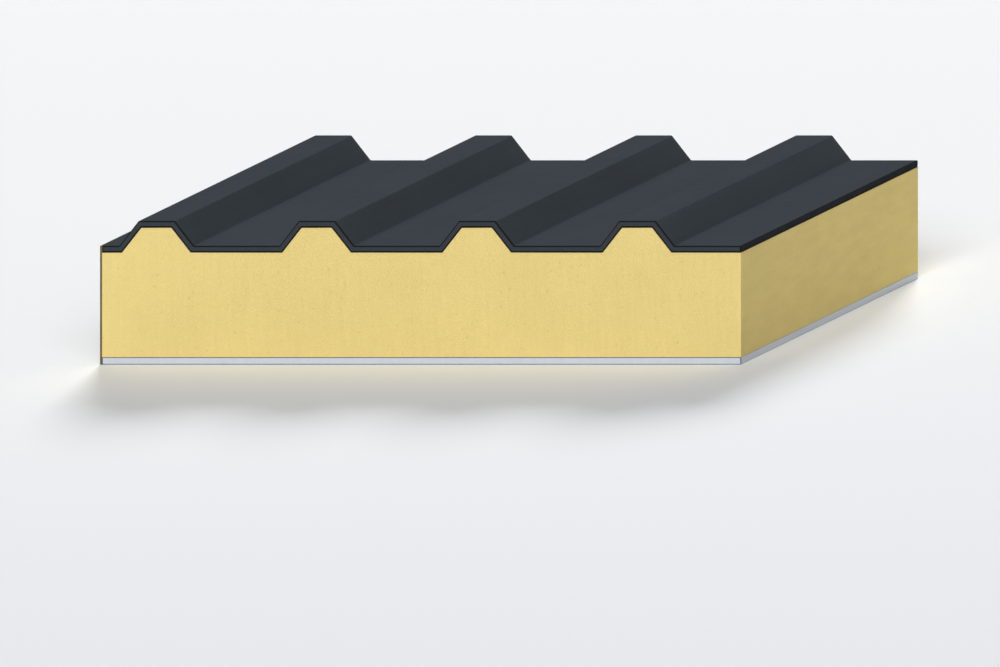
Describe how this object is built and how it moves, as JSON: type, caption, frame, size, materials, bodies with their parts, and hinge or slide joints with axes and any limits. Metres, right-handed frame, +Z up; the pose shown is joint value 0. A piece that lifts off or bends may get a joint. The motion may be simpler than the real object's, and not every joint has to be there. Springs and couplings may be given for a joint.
{
  "type": "sandwich panel",
  "caption": "Insulated roof panel: a profiled dark steel sheet with trapezoidal ribs and a flat pale steel sheet, bonded to a rigid foam core.",
  "frame": {"origin": "centre of the flat underside, which is the bottom centre of the panel's box", "axes": "+X across the ribs towards the untaped joint side, +Y along the ribs towards the back end, +Z up, out of the ribbed face"},
  "size_m": [0.54, 0.33, 0.121],
  "materials": {
    "anthracite_coated_steel": "satin",
    "rigid_foam": "matte",
    "pale_grey_coated_steel": "satin",
    "kraft_tape": "matte"
  },
  "bodies": {
    "root": {"outer_sheet": "anthracite_coated_steel", "foam_core": "rigid_foam", "inner_sheet": "pale_grey_coated_steel", "side_tape": "kraft_tape"}
  },
  "joints": []
}
